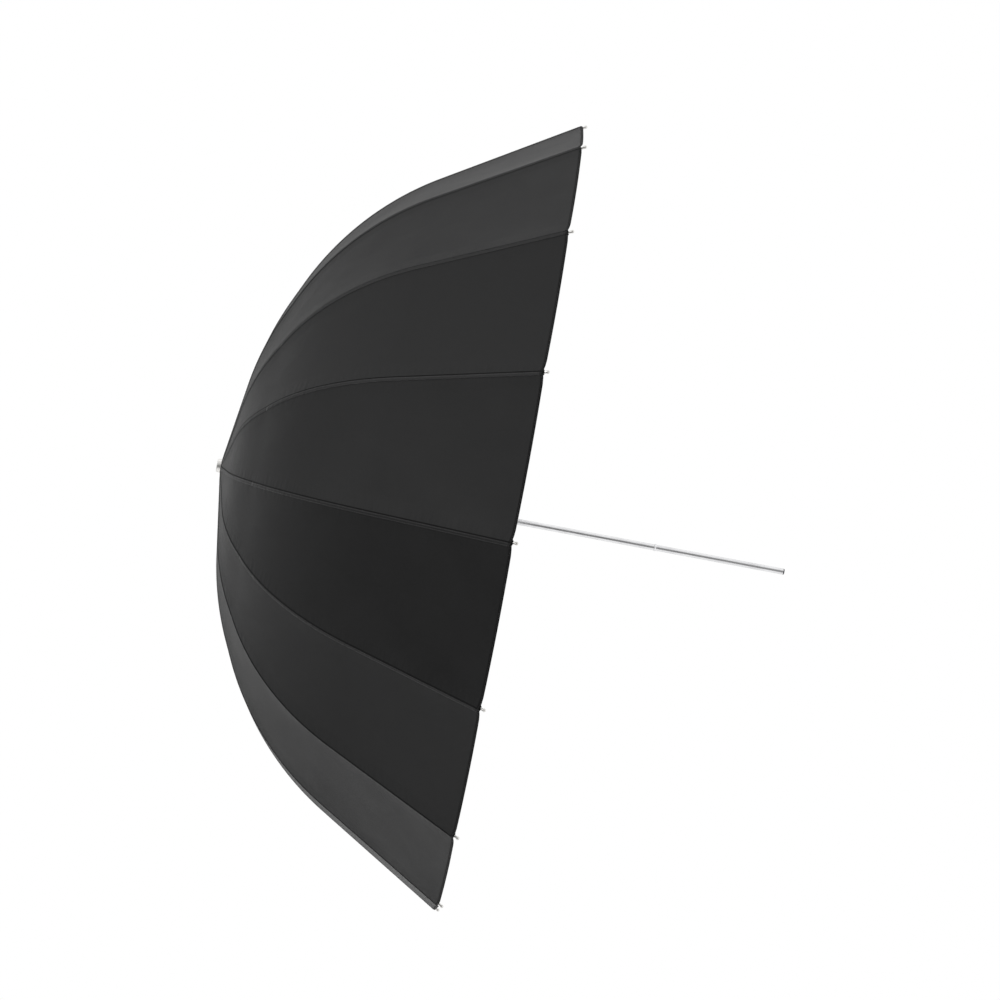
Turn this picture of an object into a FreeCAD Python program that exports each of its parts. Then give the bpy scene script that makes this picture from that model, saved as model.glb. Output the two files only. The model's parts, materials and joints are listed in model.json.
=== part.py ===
import FreeCAD, Part
import math
import os
import re

import Sketcher

# An umbrella reflector: sixteen jointed ribs and sixteen stretchers that fold along a steel shaft.
# The part's frame has +X along the shaft from the crown to its tail and +Z up, with its origin on
# the shaft's axis where a stand's grip head holds it. Rib 1 stands straight up, and the others
# follow it about +X at equal steps. Lengths are in millimetres and angles in degrees.

RIBS = 16

DRIVING = {
    # the line that a rib's middle follows when the umbrella is open
    "crown_pivot_x": -669.2,
    "pivot_radius": 13.5,
    "start_slope": 80.7,
    "inner_straight": 112,
    "inner_bend": 15.9,
    "inner_bend_radius": 418,
    "joint_straight": 13,
    "outer_bend": 33.6,
    "outer_bend_radius": 386,
    "outer_straight": 206,
    "rib_step": 360 / RIBS,
    # rods, and the eye fittings on the crown and runner wires
    "rod_radius": 1.6,
    "sleeve_radius": 2.2,
    "eye_radius": 2,
    "eye_half": 0.8,
    "eye_sleeve_start": 6,
    "eye_bore_start": 9,
    "eye_sleeve_end": 20,
    "wire_radius": 0.6,
    "wire_hole_radius": 0.7,
    # the joint where the two halves of a rib and its stretcher meet on one rivet
    "rivet_radius": 0.8,
    "rivet_hole_radius": 0.87,
    "tongue_half": 0.75,
    "clevis_inside": 0.85,
    "clevis_outside": 1.65,
    "fork_inside": 1.75,
    "fork_outside": 2.45,
    "rivet_head_radius": 1.4,
    "rivet_end": 2.95,
    "clevis_sleeve_start": 5,
    "clevis_bore_start": 8,
    "clevis_sleeve_end": 12,
    "tongue_sleeve_start": 8.5,
    "tongue_bore_start": 10.5,
    "tongue_sleeve_end": 13,
    # stretchers
    "channel_half": 1.5,
    "channel_wall": 0.6,
    "channel_to_rivet": 12,
    "channel_to_wire": 9,
    "tang_half": 0.9,
    "tang_length": 24,
    "fork_length": 28,
    # rib tips
    "tip_length": 20,
    "ball_radius": 2.1,
    # crown and runner
    "notch_radius": 16,
    "slot_floor": 11.1,
    "slot_width": 2.4,
    "slot_start": -8,
    "slot_end": 8,
    "wire_groove": 1.5,
    "notch_side": 4,
    "notch_other_side": -4,
    "notch_clear": 20,
    "crown_gap": 0.1,
    "crown_hub_radius": 7,
    "crown_hub_end": 12,
    "crown_pin_place": 8,
    "runner_sleeve_radius": 7.5,
    "runner_flange_radius": 11,
    "runner_flange_start": 31,
    "runner_end": 36,
    "runner_bore": 4.05,
    # shaft
    "shaft_radius": 4,
    "shaft_bore": 3.3,
    "shaft_front_x": -677,
    "shaft_tail_x": 85.5,
    "bead_x": -88,
    "bead_ring": 3.4,
    "bead_wire": 1.5,
    "cross_pin_radius": 0.8,
    "catch_pin_half": 3.15,
    "plug_front": -14,
    "plug_edge": 0.7,
    "plug_top": 1.5,
    "plug_top_radius": 3.2,
    # finial and the washer under it
    "finial_radius": 9,
    "finial_front_x": -679.1,
    "finial_edge": 0.8,
    "washer_radius": 15,
    "washer": 0.4,
    # canopy
    "skin_inside": 2.9,
    "skin": 0.5,
    "hem_to_tip": 8.5,
    "canopy_hole": 4.3,
    # spring catch, from its nose
    "catch_gap": 0.4,
    "catch_pivot": 33.4,
    "catch_pivot_z": -1.6,
    "catch_nose_low": 0.6,
    "catch_nose_high": 6.4,
    "catch_peak": 1.9,
    "catch_peak_z": 6.8,
    "catch_back_high": -0.8,
    "catch_back_low": -2.7,
    "catch_half": 0.6,
    "catch_boss": 1.3,
    "catch_hole": 0.85,
    "catch_window_half": 0.8,
    "catch_window_front": 0.8,
    "catch_window_length": 19.3,
    "zero": 0,
}


def on_slope(angle):
    """The direction in the XZ plane that leans this many degrees from +X towards +Z."""
    return FreeCAD.Vector(math.cos(math.radians(angle)), 0, math.sin(math.radians(angle)))


def off_slope(angle):
    """The direction square to that one, on the outer side of a rib."""
    return on_slope(angle + 90)


def rib_line(d, offset):
    """The six corners of a line beside the rib, this far outside its middle, and its two arcs' radii.

    The line runs straight, bends towards the tail, runs straight over the joint, bends again and
    ends straight at the tip.
    """
    slopes = [d["start_slope"], d["start_slope"] - d["inner_bend"]]
    slopes.append(slopes[1] - d["outer_bend"])
    radii = [d["inner_bend_radius"] + offset, d["outer_bend_radius"] + offset]
    start = FreeCAD.Vector(d["crown_pivot_x"], 0, d["pivot_radius"]) + offset * off_slope(slopes[0])
    runs = [d["inner_straight"], 2 * d["joint_straight"], d["outer_straight"]]
    corners = [start]
    for number, run in enumerate(runs):
        corners.append(corners[-1] + run * on_slope(slopes[number]))
        if number < len(radii):
            turn = off_slope(slopes[number + 1]) - off_slope(slopes[number])
            corners.append(corners[-1] + radii[number] * turn)
    return corners, slopes, radii


def worked_out(d):
    """The sizes and places that follow from the driving dimensions."""
    corners, slopes, _ = rib_line(d, 0)
    pivot, tip = corners[0], corners[-1]
    joint = corners[2] + d["joint_straight"] * on_slope(slopes[1])
    reach = joint - pivot
    runner_x = 2 * joint.x - pivot.x

    def cone(offset, radius):
        """How far before the crown's pivots a cone beside the ribs' first stretch stands."""
        foot = offset * off_slope(slopes[0])
        return foot.x + (radius - d["pivot_radius"] - foot.z) / math.tan(math.radians(slopes[0]))

    crown = d["skin_inside"] - d["crown_gap"]
    outside = d["skin_inside"] + d["skin"]
    return {
        "joint_slope": slopes[1],
        "rim_slope": slopes[2],
        "joint_x": joint.x,
        "joint_z": joint.z,
        "tip_x": tip.x,
        "tip_z": tip.z,
        "stretcher_length": reach.Length,
        "stretcher_slope": -math.degrees(math.atan2(reach.z, reach.x)),
        "runner_x": runner_x,
        "catch_nose_x": runner_x + d["runner_end"] + d["catch_gap"],
        "crown_nose": cone(crown, d["shaft_radius"]),
        "crown_lip": cone(crown, d["notch_radius"]),
        "washer_back_in": cone(outside, d["canopy_hole"]),
        "washer_back_out": cone(outside, d["washer_radius"]),
        "washer_front_in": cone(outside, d["canopy_hole"]) - d["washer"],
        "washer_front_out": cone(outside, d["washer_radius"]) - d["washer"],
        "finial_seat_in": cone(outside, d["shaft_radius"]) - d["washer"],
        "finial_seat_out": cone(outside, d["finial_radius"]) - d["washer"],
        "finial_front": d["finial_front_x"] - d["crown_pivot_x"],
        "finial_bevel": d["finial_front_x"] - d["crown_pivot_x"] + d["finial_edge"],
        "finial_face_radius": d["finial_radius"] - d["finial_edge"],
        "finial_socket": d["shaft_front_x"] - d["crown_pivot_x"],
        "groove_floor": d["pivot_radius"] - d["wire_radius"],
        "groove_front": -d["wire_groove"] / 2,
        "groove_back": d["wire_groove"] / 2,
    }


doc = FreeCAD.newDocument("umbrella_reflector")
SIZE = dict(DRIVING, **worked_out(DRIVING))


def fill_sheet():
    sheet = doc.addObject("Spreadsheet::Sheet", "Sizes")
    for row, (alias, number) in enumerate(SIZE.items(), start=1):
        sheet.set(f"A{row}", alias)
        sheet.set(f"B{row}", repr(float(number)))
        sheet.setAlias(f"B{row}", alias)
    doc.recompute()


def in_sheet(text):
    """An expression's text with every alias led by the sheet's name."""
    return re.sub(r"[a-z_]+", lambda w: f"Sizes.{w[0]}" if w[0] in SIZE else w[0], text)


def bind(thing, sizes):
    """Binds each property to its expression."""
    for name, text in sizes.items():
        thing.setExpression(name, in_sheet(text))
    return thing


def combined(kind, name, shapes):
    joined = doc.addObject(kind, name)
    if kind == "Part::Compound":
        joined.Links = shapes
    else:
        joined.Shapes = shapes
    return joined


def fused(name, shapes):
    return combined("Part::MultiFuse", name, shapes)


def cut(name, base, tool):
    left = doc.addObject("Part::Cut", name)
    left.Base = base
    left.Tool = tool
    return left


# Pieces that stand on a pin are drawn about the Y axis at their own origin and run along their
# own +Z, and are leaned into place afterwards.


def bar_along(name, radius, start, end):
    """A round bar along Z."""
    bar = doc.addObject("Part::Cylinder", name)
    return bind(bar, {"Radius": radius, "Height": f"{end} - ({start})", "Placement.Base.z": start})


def disc_across(name, radius, low, high, place="zero"):
    """A round bar along Y, between two distances from the XZ plane, at a height on Z."""
    disc = doc.addObject("Part::Cylinder", name)
    disc.Placement.Rotation = FreeCAD.Rotation(FreeCAD.Vector(1, 0, 0), -90)
    sizes = {"Radius": radius, "Height": f"{high} - ({low})", "Placement.Base.y": low}
    return bind(disc, dict(sizes, **{"Placement.Base.z": place}))


def plate(name, half_x, low_y, high_y, start, end):
    """A flat bar along Z."""
    sizes = {
        "Length": f"2 * {half_x}",
        "Width": f"{high_y} - ({low_y})",
        "Height": f"{end} - ({start})",
        "Placement.Base.x": f"-{half_x}",
        "Placement.Base.y": low_y,
        "Placement.Base.z": start,
    }
    return bind(doc.addObject("Part::Box", name), sizes)


def lean(piece, place_x, place_z, slope):
    """Moves a piece that runs along its own Z to a point of the XZ plane, and leans it to a slope."""
    piece.Placement.Rotation = FreeCAD.Rotation(FreeCAD.Vector(0, 1, 0), 1)
    places = {"Placement.Base.x": place_x, "Placement.Base.z": place_z}
    return bind(piece, dict(places, **{"Placement.Rotation.Angle": f"90 - ({slope})"}))


def socket(name, eye, sleeve, bore):
    """A flat eye that grows into a sleeve for a rod: a fuse of the eye's pieces, bored out."""
    start, end, bore_start = sleeve
    tube = bar_along(f"{name}_tube", "sleeve_radius", start, end)
    solid = fused(f"{name}_solid", eye + [tube])
    bored = cut(f"{name}_bored", solid, bar_along(f"{name}_bore", "rod_radius", bore_start, end))
    return cut(name, bored, disc_across(f"{name}_hole", bore, "-sleeve_radius", "sleeve_radius"))


def crown_eye():
    """The steel eye on the crown's wire, with the sleeve that holds the rib's rod."""
    disc = disc_across("crown_eye_disc", "eye_radius", "-eye_half", "eye_half")
    neck = plate("crown_eye_neck", "eye_radius", "-eye_half", "eye_half", "zero", "eye_bore_start")
    sleeve = ("eye_sleeve_start", "eye_sleeve_end", "eye_bore_start")
    eye = socket("crown_eye", [disc, neck], sleeve, "wire_hole_radius")
    return lean(eye, "crown_pivot_x", "pivot_radius", "start_slope")


def clevis():
    """The two ears at the joint, on a sleeve that holds the inner rod's other end."""
    ears = []
    for side, low, high in (
        ("left", "-clevis_outside", "-clevis_inside"),
        ("right", "clevis_inside", "clevis_outside"),
    ):
        ears.append(disc_across(f"clevis_disc_{side}", "eye_radius", low, high))
        ears.append(plate(f"clevis_ear_{side}", "eye_radius", low, high, "zero", "clevis_bore_start"))
    sleeve = ("clevis_sleeve_start", "clevis_sleeve_end", "clevis_bore_start")
    piece = socket("clevis", ears, sleeve, "rivet_hole_radius")
    return lean(piece, "joint_x", "joint_z", "joint_slope + 180")


def tongue():
    """The flat tongue between the clevis's ears, with the sleeve of the outer rod."""
    disc = disc_across("tongue_disc", "eye_radius", "-tongue_half", "tongue_half")
    neck = plate(
        "tongue_neck", "eye_radius", "-tongue_half", "tongue_half", "zero", "tongue_bore_start"
    )
    sleeve = ("tongue_sleeve_start", "tongue_sleeve_end", "tongue_bore_start")
    piece = socket("tongue", [disc, neck], sleeve, "rivet_hole_radius")
    return lean(piece, "joint_x", "joint_z", "joint_slope")


def bent_line(name, start, slope, bend, radius, first, last):
    """A sketch in the XZ plane: a line, an arc that bends it towards the shaft, and a line.

    start and slope are numbers; bend, radius, first and last are expressions with their numbers.
    """
    sketch = doc.addObject("Sketcher::SketchObject", name)
    sketch.Placement.Rotation = FreeCAD.Rotation(FreeCAD.Vector(1, 0, 0), 90)
    turned = slope - SIZE[bend]
    centre = start + first[1] * on_slope(slope) - SIZE[radius] * off_slope(slope)
    places = [start, start + first[1] * on_slope(slope), centre + SIZE[radius] * off_slope(turned)]
    places.append(places[2] + last[1] * on_slope(turned))
    points = [FreeCAD.Vector(p.x, p.z, 0) for p in places]
    circle = Part.Circle(FreeCAD.Vector(centre.x, centre.z, 0), FreeCAD.Vector(0, 0, 1), SIZE[radius])
    sketch.addGeometry(Part.LineSegment(points[0], points[1]))
    sketch.addGeometry(Part.ArcOfCircle(circle, math.radians(turned + 90), math.radians(slope + 90)))
    sketch.addGeometry(Part.LineSegment(points[2], points[3]))
    sketch.addConstraint(
        [
            Sketcher.Constraint("DistanceX", -1, 1, 0, 1, points[0].x),
            Sketcher.Constraint("DistanceY", -1, 1, 0, 1, points[0].y),
            Sketcher.Constraint("Angle", 0, math.radians(slope)),
            Sketcher.Constraint("Tangent", 0, 2, 1, 2),
            Sketcher.Constraint("Tangent", 1, 1, 2, 1),
            Sketcher.Constraint("Angle", 2, math.radians(turned)),
        ]
    )
    for label, text, constraint in (
        ("first_run", first[0], Sketcher.Constraint("Distance", 0, first[1])),
        ("last_run", last[0], Sketcher.Constraint("Distance", 2, last[1])),
        ("bend_radius", radius, Sketcher.Constraint("Radius", 1, SIZE[radius])),
    ):
        sketch.renameConstraint(sketch.addConstraint(constraint), label)
        sketch.setExpression(f"Constraints.{label}", in_sheet(text))
    doc.recompute()
    return sketch


def rod(name, sketch, slope):
    """A round rod that follows a bent line."""
    section = bind(doc.addObject("Part::Circle", f"{name}_section"), {"Radius": "rod_radius"})
    facing = FreeCAD.Rotation(FreeCAD.Vector(0, 1, 0), 90 - slope)
    section.Placement = FreeCAD.Placement(sketch.Shape.Vertexes[0].Point, facing)
    sweep = doc.addObject("Part::Sweep", name)
    sweep.Sections = [section]
    sweep.Spine = (sketch, [f"Edge{number + 1}" for number in range(len(sketch.Shape.Edges))])
    sweep.Solid = True
    return sweep


def inner_rod():
    """From the crown eye's sleeve to the clevis's."""
    corners, slopes, _ = rib_line(SIZE, 0)
    start = corners[0] + SIZE["eye_bore_start"] * on_slope(slopes[0])
    first = ("inner_straight - eye_bore_start", SIZE["inner_straight"] - SIZE["eye_bore_start"])
    last = ("joint_straight - clevis_bore_start", SIZE["joint_straight"] - SIZE["clevis_bore_start"])
    line = bent_line(
        "inner_rod_line", start, slopes[0], "inner_bend", "inner_bend_radius", first, last
    )
    return rod("inner_rod", line, slopes[0])


def outer_rod():
    """From the tongue's sleeve to the metal tip."""
    corners, slopes, _ = rib_line(SIZE, 0)
    past_joint = SIZE["tongue_bore_start"] - SIZE["joint_straight"]
    start = corners[3] + past_joint * on_slope(slopes[1])
    first = ("joint_straight - tongue_bore_start", -past_joint)
    last = ("outer_straight - tip_length", SIZE["outer_straight"] - SIZE["tip_length"])
    line = bent_line(
        "outer_rod_line", start, slopes[1], "outer_bend", "outer_bend_radius", first, last
    )
    return rod("outer_rod", line, slopes[1])


def rib_tip():
    """The metal tip that the canopy's pocket is slipped over, with its ball end."""
    bar = bar_along("tip_bar", "rod_radius", "-tip_length", "-ball_radius")
    ball = bind(
        doc.addObject("Part::Sphere", "tip_ball"),
        {"Radius": "ball_radius", "Placement.Base.z": "-ball_radius"},
    )
    return lean(fused("rib_tip", [bar, ball]), "tip_x", "tip_z", "rim_slope")


def stretcher_channel():
    """A folded steel channel, open on the side of the rib."""
    low, high = "channel_to_rivet", "stretcher_length - channel_to_wire"
    outside = plate("channel_outside", "channel_half", "-fork_inside", "fork_inside", low, high)
    wall = "(fork_inside - channel_wall)"
    inside = plate("channel_inside", "channel_half", f"-{wall}", wall, low, high)
    bind(inside, {"Placement.Base.x": "channel_wall - channel_half"})
    return cut("stretcher_channel", outside, inside)


def runner_tang():
    """The flat eye on the runner's wire, riveted into the channel's end."""
    disc = disc_across("tang_disc", "eye_radius", "-eye_half", "eye_half", "stretcher_length")
    start = "stretcher_length - tang_length"
    blade = plate("tang_blade", "tang_half", "-eye_half", "eye_half", start, "stretcher_length")
    solid = fused("tang_solid", [disc, blade])
    hole = disc_across("tang_hole", "wire_hole_radius", "-eye_half", "eye_half", "stretcher_length")
    return cut("runner_tang", solid, hole)


def fork_ear(side, low, high):
    """One of the two flat links on the channel's sides that reach over the rib's joint."""
    disc = disc_across(f"fork_disc_{side}", "eye_radius", low, high)
    link = plate(f"fork_link_{side}", "channel_half", low, high, "zero", "fork_length")
    hole = disc_across(f"fork_hole_{side}", "rivet_radius", low, high)
    return cut(f"fork_ear_{side}", fused(f"fork_solid_{side}", [disc, link]), hole)


def joint_rivet():
    """The rivet through the fork, the clevis and the tongue."""
    shank = disc_across("rivet_shank", "rivet_radius", "-rivet_end", "rivet_end")
    left = disc_across("rivet_head_left", "rivet_head_radius", "-rivet_end", "-fork_outside")
    right = disc_across("rivet_head_right", "rivet_head_radius", "fork_outside", "rivet_end")
    return fused("joint_rivet", [shank, left, right])


def stretcher_pieces():
    pieces = [stretcher_channel(), runner_tang()]
    pieces.append(fork_ear("left", "-fork_outside", "-fork_inside"))
    pieces.append(fork_ear("right", "fork_inside", "fork_outside"))
    pieces.append(joint_rivet())
    standing = []
    for piece in pieces:
        group = combined("Part::Compound", f"{piece.Name}_standing", [piece])
        standing.append(lean(group, "joint_x", "joint_z", "stretcher_slope"))
    return standing


def round_the_shaft(name, pieces):
    """One labelled sub-part for each rib: the same pieces, turned about +X to that rib's place."""
    nodes = []
    for number in range(RIBS):
        node = combined("Part::Compound", f"{name}_{number + 1:02d}", pieces)
        node.Label = f"{name}_{number + 1:02d}"
        node.Placement.Rotation = FreeCAD.Rotation(FreeCAD.Vector(1, 0, 0), 1)
        nodes.append(bind(node, {"Placement.Rotation.Angle": f"{number} * rib_step"}))
    return nodes


def plane_of(body, role):
    return next(feature for feature in body.Origin.OriginFeatures if feature.Role == role)


def outline(body, name, corners):
    """A closed polygon on the body's XZ plane, each corner at two of the sheet's values."""
    sketch = body.newObject("Sketcher::SketchObject", name)
    sketch.AttachmentSupport = (plane_of(body, "XZ_Plane"), [""])
    sketch.MapMode = "FlatFace"
    points = [FreeCAD.Vector(SIZE[x], SIZE[z], 0) for x, z in corners]
    for number, point in enumerate(points):
        sketch.addGeometry(Part.LineSegment(point, points[(number + 1) % len(points)]))
    for number in range(len(points)):
        following = (number + 1) % len(points)
        sketch.addConstraint(Sketcher.Constraint("Coincident", number, 2, following, 1))
    for number, corner in enumerate(corners):
        for kind, alias in zip(("DistanceX", "DistanceY"), corner):
            constraint = Sketcher.Constraint(kind, -1, 1, number, 1, SIZE[alias])
            label = f"{kind}_{number}"
            sketch.renameConstraint(sketch.addConstraint(constraint), label)
            sketch.setExpression(f"Constraints.{label}", in_sheet(alias))
    return sketch


def turned(body, name, corners, kind="PartDesign::Revolution"):
    """A revolution, or a groove, of a polygon about the body's X axis."""
    feature = body.newObject(kind, name)
    feature.Profile = outline(body, f"{name}_outline", corners)
    feature.ReferenceAxis = (plane_of(body, "X_Axis"), [""])
    feature.Angle = 360
    body.Tip = feature
    return feature


def new_body(name, place_x):
    """A body whose own X axis is the shaft's, at a place along it."""
    body = doc.addObject("PartDesign::Body", name)
    body.Label = name
    return bind(body, {"Placement.Base.x": place_x})


def notched(body):
    """Cuts a wire groove and sixteen slots for flat eyes into a round body, about its origin."""
    groove = [("groove_front", "groove_floor"), ("groove_back", "groove_floor")]
    groove += [("groove_back", "notch_clear"), ("groove_front", "notch_clear")]
    turned(body, f"{body.Name}_groove", groove, "PartDesign::Groove")
    wall = [("slot_start", "slot_floor"), ("slot_end", "slot_floor")]
    wall += [("slot_end", "notch_clear"), ("slot_start", "notch_clear")]
    slot = body.newObject("PartDesign::Pocket", f"{body.Name}_slot")
    slot.Profile = outline(body, f"{body.Name}_slot_outline", wall)
    slot.Midplane = True
    bind(slot, {"Length": "slot_width"})
    doc.recompute()
    slots = body.newObject("PartDesign::PolarPattern", f"{body.Name}_slots")
    slots.Originals = [slot]
    slots.Axis = (plane_of(body, "X_Axis"), [""])
    slots.Angle = 360
    slots.Occurrences = RIBS
    body.Tip = slots
    doc.recompute()
    return body


def crown():
    """The notched hub at the shaft's front end, its face coned to lie under the canopy."""
    body = new_body("crown", "crown_pivot_x")
    profile = [("crown_nose", "shaft_radius"), ("crown_lip", "notch_radius")]
    profile += [("notch_side", "notch_radius"), ("notch_side", "crown_hub_radius")]
    profile += [("crown_hub_end", "crown_hub_radius"), ("crown_hub_end", "shaft_radius")]
    turned(body, "crown_profile", profile)
    notched(body)
    hole = body.newObject("PartDesign::Pocket", "crown_pin_hole")
    hole.Profile = circle_across(body, "crown_pin_circle", "crown_pin_place", "cross_pin_radius")
    hole.Type = "ThroughAll"
    hole.Midplane = True
    body.Tip = hole
    return body


def circle_across(body, name, place_x, radius):
    """A circle on the body's XZ plane, centred on its X axis."""
    sketch = body.newObject("Sketcher::SketchObject", name)
    sketch.AttachmentSupport = (plane_of(body, "XZ_Plane"), [""])
    sketch.MapMode = "FlatFace"
    centre = FreeCAD.Vector(SIZE[place_x], 0, 0)
    sketch.addGeometry(Part.Circle(centre, FreeCAD.Vector(0, 0, 1), SIZE[radius]))
    sketch.addConstraint(Sketcher.Constraint("PointOnObject", 0, 3, -1))
    for label, text, constraint in (
        ("place", place_x, Sketcher.Constraint("DistanceX", -1, 1, 0, 3, SIZE[place_x])),
        ("radius", radius, Sketcher.Constraint("Radius", 0, SIZE[radius])),
    ):
        sketch.renameConstraint(sketch.addConstraint(constraint), label)
        sketch.setExpression(f"Constraints.{label}", in_sheet(text))
    return sketch


def runner():
    """The plastic slider: a notched collar, a sleeve and the flange that a hand pushes."""
    body = new_body("runner", "runner_x")
    profile = [("notch_other_side", "runner_bore"), ("notch_other_side", "notch_radius")]
    profile += [("notch_side", "notch_radius"), ("notch_side", "runner_sleeve_radius")]
    profile += [("runner_flange_start", "runner_sleeve_radius")]
    profile += [("runner_flange_start", "runner_flange_radius")]
    profile += [("runner_end", "runner_flange_radius"), ("runner_end", "runner_bore")]
    turned(body, "runner_profile", profile)
    return notched(body)


def finial():
    """The metal cap on the shaft's front end that clamps the washer and the canopy."""
    body = new_body("finial", "crown_pivot_x")
    profile = [("finial_front", "zero"), ("finial_front", "finial_face_radius")]
    profile += [("finial_bevel", "finial_radius"), ("finial_seat_out", "finial_radius")]
    profile += [("finial_seat_in", "shaft_radius"), ("finial_socket", "shaft_radius")]
    profile += [("finial_socket", "zero")]
    turned(body, "finial_profile", profile)
    return body


def canopy_washer():
    """The thin coned washer between the finial and the canopy."""
    body = new_body("canopy_washer", "crown_pivot_x")
    profile = [("washer_front_in", "canopy_hole"), ("washer_front_out", "washer_radius")]
    profile += [("washer_back_out", "washer_radius"), ("washer_back_in", "canopy_hole")]
    turned(body, "washer_profile", profile)
    return body


def shaft_end_plug():
    """The plastic plug that closes the shaft's tail."""
    body = new_body("shaft_end_plug", "shaft_tail_x")
    profile = [("plug_front", "zero"), ("plug_front", "shaft_bore"), ("zero", "shaft_bore")]
    profile += [("zero", "shaft_radius"), ("plug_edge", "shaft_radius")]
    profile += [("plug_top", "plug_top_radius"), ("plug_top", "zero")]
    turned(body, "plug_profile", profile)
    return body


def wire_ring(name, place_x):
    """The wire that threads every eye of the crown or the runner."""
    ring = doc.addObject("Part::Torus", name)
    ring.Placement.Rotation = FreeCAD.Rotation(FreeCAD.Vector(0, 1, 0), 90)
    sizes = {"Radius1": "pivot_radius", "Radius2": "wire_radius", "Placement.Base.x": place_x}
    return bind(ring, sizes)


def cross_pin(name, half, place_x, place_z="zero"):
    """A plain pin across the shaft."""
    pin = disc_across(name, "cross_pin_radius", f"-{half}", half)
    return bind(pin, {"Placement.Base.x": place_x, "Placement.Base.z": place_z})


def shaft_tube():
    """The drawn tube, with a rolled bead that stops the runner, its pin holes and the catch's window."""
    along = FreeCAD.Rotation(FreeCAD.Vector(0, 1, 0), 90)
    tube = doc.addObject("Part::Cylinder", "shaft_outside")
    bore = doc.addObject("Part::Cylinder", "shaft_inside")
    for bar, radius in ((tube, "shaft_radius"), (bore, "shaft_bore")):
        bar.Placement.Rotation = along
        sizes = {"Radius": radius, "Height": "shaft_tail_x - shaft_front_x"}
        bind(bar, dict(sizes, **{"Placement.Base.x": "shaft_front_x"}))
    bead = doc.addObject("Part::Torus", "runner_stop_bead")
    bead.Placement.Rotation = along
    bind(bead, {"Radius1": "bead_ring", "Radius2": "bead_wire", "Placement.Base.x": "bead_x"})
    window = bind(
        doc.addObject("Part::Box", "catch_window"),
        {
            "Length": "catch_window_length",
            "Width": "2 * catch_window_half",
            "Height": "2 * shaft_radius",
            "Placement.Base.x": "catch_nose_x - catch_window_front",
            "Placement.Base.y": "-catch_window_half",
        },
    )
    half = "(2 * shaft_radius)"
    crown_hole = cross_pin("shaft_crown_hole", half, "crown_pivot_x + crown_pin_place")
    catch_hole = cross_pin("shaft_catch_hole", half, "catch_nose_x + catch_pivot", "catch_pivot_z")
    shaft = fused("shaft_solid", [tube, bead])
    for name, tool in (
        ("shaft_bored", bore),
        ("shaft_crown_drilled", crown_hole),
        ("shaft_catch_drilled", catch_hole),
        ("shaft_tube", window),
    ):
        shaft = cut(name, shaft, tool)
    return shaft


def catch_leaf():
    """The flat spring catch in the shaft: its nose stands behind the open runner."""
    body = new_body("catch_leaf_plate", "catch_nose_x")
    profile = [("zero", "catch_nose_low"), ("zero", "catch_nose_high")]
    profile += [("catch_peak", "catch_peak_z"), ("catch_pivot", "catch_back_high")]
    profile += [("catch_pivot", "catch_back_low")]
    leaf = body.newObject("PartDesign::Pad", "catch_leaf_pad")
    leaf.Profile = outline(body, "catch_leaf_outline", profile)
    leaf.Midplane = True
    bind(leaf, {"Length": "2 * catch_half"})
    body.Tip = leaf
    boss = disc_across("catch_boss_disc", "catch_boss", "-catch_half", "catch_half")
    hole = disc_across("catch_eye", "catch_hole", "-catch_half", "catch_half")
    for disc in (boss, hole):
        bind(disc, {"Placement.Base.x": "catch_nose_x + catch_pivot"})
        bind(disc, {"Placement.Base.z": "catch_pivot_z"})
    return cut("catch_leaf_drilled", fused("catch_leaf_solid", [body, boss]), hole)


def gore_edge(turn):
    """The closed line of the canopy's cloth in the plane of one rib, turned about the shaft."""
    loops = []
    for offset in (SIZE["skin_inside"], SIZE["skin_inside"] + SIZE["skin"]):
        corners, slopes, radii = rib_line(SIZE, offset)
        inward = (SIZE["canopy_hole"] - corners[0].z) / math.sin(math.radians(slopes[0]))
        corners[0] = corners[0] + inward * on_slope(slopes[0])
        corners[-1] = corners[-1] - SIZE["hem_to_tip"] * on_slope(slopes[2])
        edges = []
        for number, slope in enumerate(slopes):
            start, end = corners[2 * number : 2 * number + 2]
            edges.append(Part.LineSegment(start, end).toShape())
            if number < len(radii):
                middle = (slope + slopes[number + 1]) / 2
                halfway = end + radii[number] * (off_slope(middle) - off_slope(slope))
                edges.append(Part.Arc(end, halfway, corners[2 * number + 2]).toShape())
        loops.append((edges, corners))
    inside, outside = loops
    hem = Part.LineSegment(inside[1][-1], outside[1][-1]).toShape()
    top = Part.LineSegment(outside[1][0], inside[1][0]).toShape()
    wire = Part.Wire(inside[0] + [hem] + outside[0][::-1] + [top])
    wire.rotate(FreeCAD.Vector(), FreeCAD.Vector(1, 0, 0), turn)
    return wire


def canopy():
    """Sixteen sewn gores. Each is stretched straight across from one rib to the next."""
    gores = []
    for number in range(RIBS):
        turns = (number * SIZE["rib_step"], (number + 1) * SIZE["rib_step"])
        gores.append(Part.makeLoft([gore_edge(turn) for turn in turns], True, True))
    node = doc.addObject("Part::Feature", "canopy")
    node.Shape = Part.makeCompound(gores)
    return node


def labelled(node, name):
    node.Label = name
    return node


def write_parts(nodes):
    """Checks every object of the document and every sub-part's shape, then writes the files."""
    doc.recompute()
    for thing in doc.Objects:
        if {"Invalid", "Error"} & set(thing.State):
            raise RuntimeError(f"{thing.Name} failed: {thing.State}")
    os.makedirs("parts", exist_ok=True)
    for node in nodes:
        if node.Shape.isNull() or not node.Shape.isValid():
            raise RuntimeError(f"{node.Label} has no valid shape")
    for node in nodes:
        node.Shape.exportStep(f"parts/{node.Label}.step")


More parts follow.
